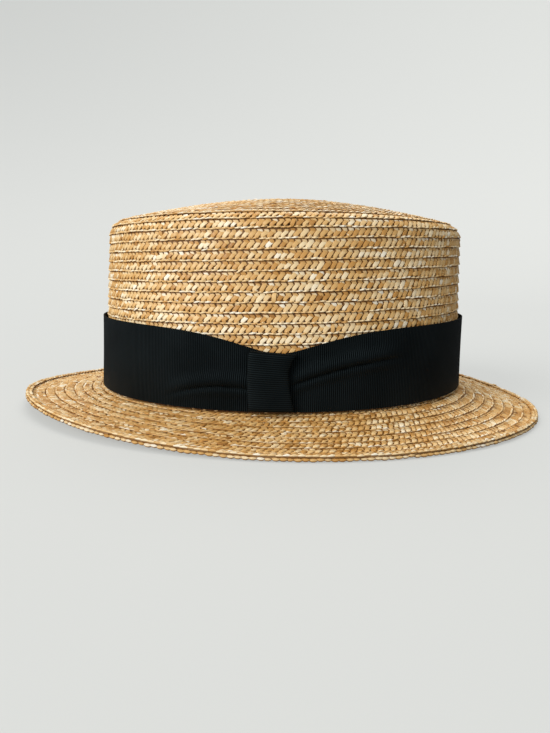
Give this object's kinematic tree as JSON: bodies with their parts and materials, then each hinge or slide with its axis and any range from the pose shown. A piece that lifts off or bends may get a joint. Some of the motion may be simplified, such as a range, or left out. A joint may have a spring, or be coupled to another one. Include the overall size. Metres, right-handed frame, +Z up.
{
  "type": "straw boater hat",
  "caption": "Stiff sewn-straw hat with a hollow oval crown, a domed tip, a flat wavy brim and a black ribbon pinched by a flat knot.",
  "frame": {"origin": "middle of the brim's outline, on the surface that the hat rests on", "axes": "+X along the head towards the back of the wearer, +Y towards the wearer's right, +Z up; the knot faces -Y"},
  "size_m": [0.2902, 0.2548, 0.1141],
  "materials": {
    "straw": "sewn wheat-straw plait, natural, semi-gloss strands",
    "edge_straw": "doubled wheat-straw plait, natural",
    "ribbon": "black grosgrain ribbon, soft sheen",
    "knot": "black grosgrain ribbon, soft sheen"
  },
  "bodies": {
    "root": {"crown_tip": "straw", "crown_side": "straw", "brim": "straw", "brim_edge": "edge_straw", "ribbon": "ribbon", "bow_knot": "knot"}
  },
  "joints": []
}
